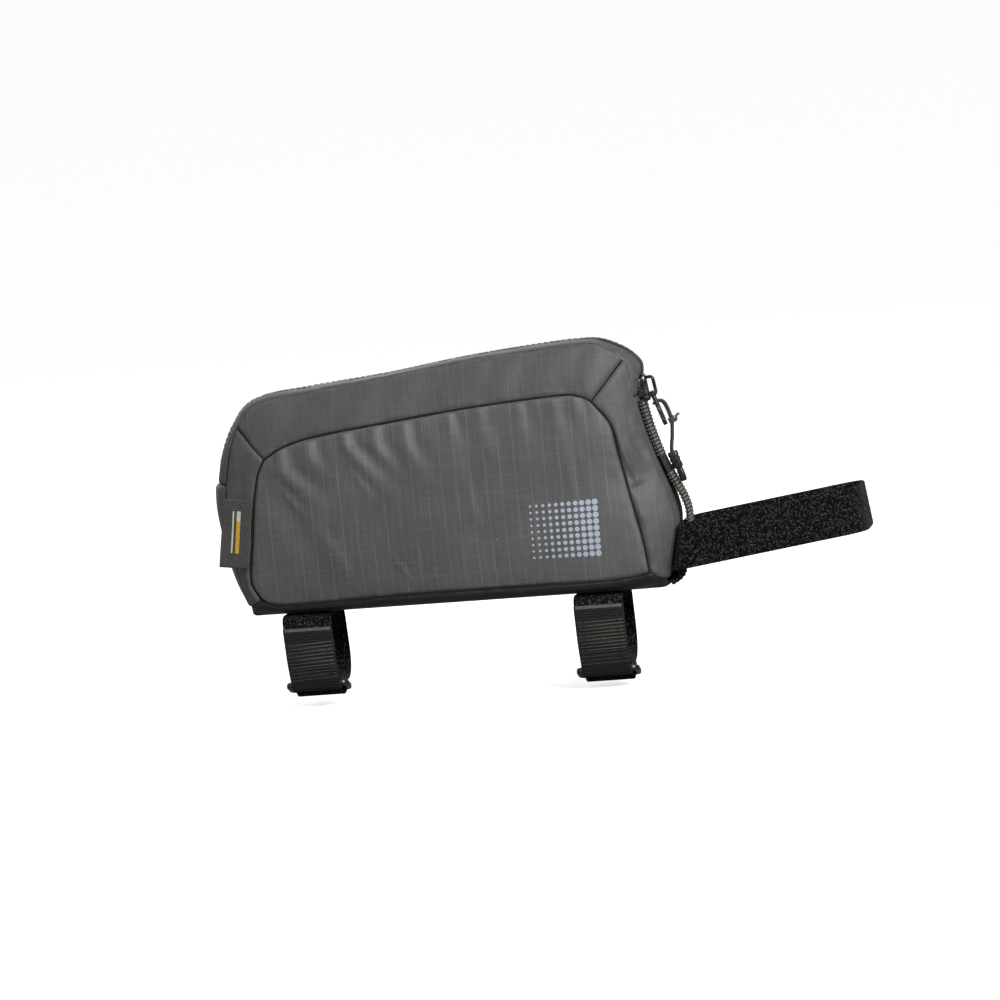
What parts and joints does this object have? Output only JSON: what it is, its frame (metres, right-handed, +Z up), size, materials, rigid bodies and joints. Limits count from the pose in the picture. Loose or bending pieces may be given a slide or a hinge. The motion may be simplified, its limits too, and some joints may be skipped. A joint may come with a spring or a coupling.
{
  "type": "top tube bag",
  "caption": "Soft zipped bag for a bicycle's top tube, with ring-fastened straps underneath, a hook-and-loop strap for the stem at the front and a corded zip pull.",
  "frame": {"origin": "middle of the base's underside, where the bag sits on the tube", "axes": "+X forwards, towards the stem; +Z up, away from the tube; the side with the label faces -Y"},
  "size_m": [0.3038, 0.0568, 0.1595],
  "materials": {
    "ripstop": "dark grey ripstop weave, satin",
    "coated_cloth": "dark grey coated cloth, low sheen",
    "base_cloth": "black cloth, matt",
    "zip_tape": "woven tape, matt",
    "zip_coil": "nylon coil",
    "dark_metal": "blackened metal, worn bright at its edges",
    "cord": "braided cord",
    "black_plastic": "moulded, satin",
    "grosgrain": "ribbed webbing",
    "hook_and_loop": "loop pile",
    "webbing": "ribbed webbing, with loop pile at its top",
    "label_weave": "fine woven label"
  },
  "bodies": {
    "bag": {"side_panel_near": "ripstop", "side_panel_far": "ripstop", "top_band_near": "coated_cloth", "top_band_far": "coated_cloth", "front_band_near": "coated_cloth", "front_band_far": "coated_cloth", "rear_band_near": "coated_cloth", "rear_band_far": "coated_cloth", "zip_panel_near": "coated_cloth", "zip_panel_far": "coated_cloth", "front_panel": "coated_cloth", "rear_panel": "coated_cloth", "base_panel": "base_cloth", "zip_tape": "zip_tape", "zip_coil": "zip_coil", "zip_slider": "dark_metal", "front_webbing": "grosgrain", "stem_strap": "hook_and_loop", "rear_strap": "webbing", "front_strap": "webbing", "rear_ring": "black_plastic", "front_ring": "black_plastic", "side_label": "label_weave"},
    "zip_pull": {"pull_tab": "dark_metal", "pull_cord": "cord", "cord_knot": "cord", "pull_grip": "black_plastic"}
  },
  "joints": [
    {"name": "zip_pull_swing", "type": "hinge", "parent": "bag", "child": "zip_pull", "pos_m": [0.09542, 0, 0.08948], "axis": [0, -1, 0], "range_deg": [0, 100]}
  ]
}
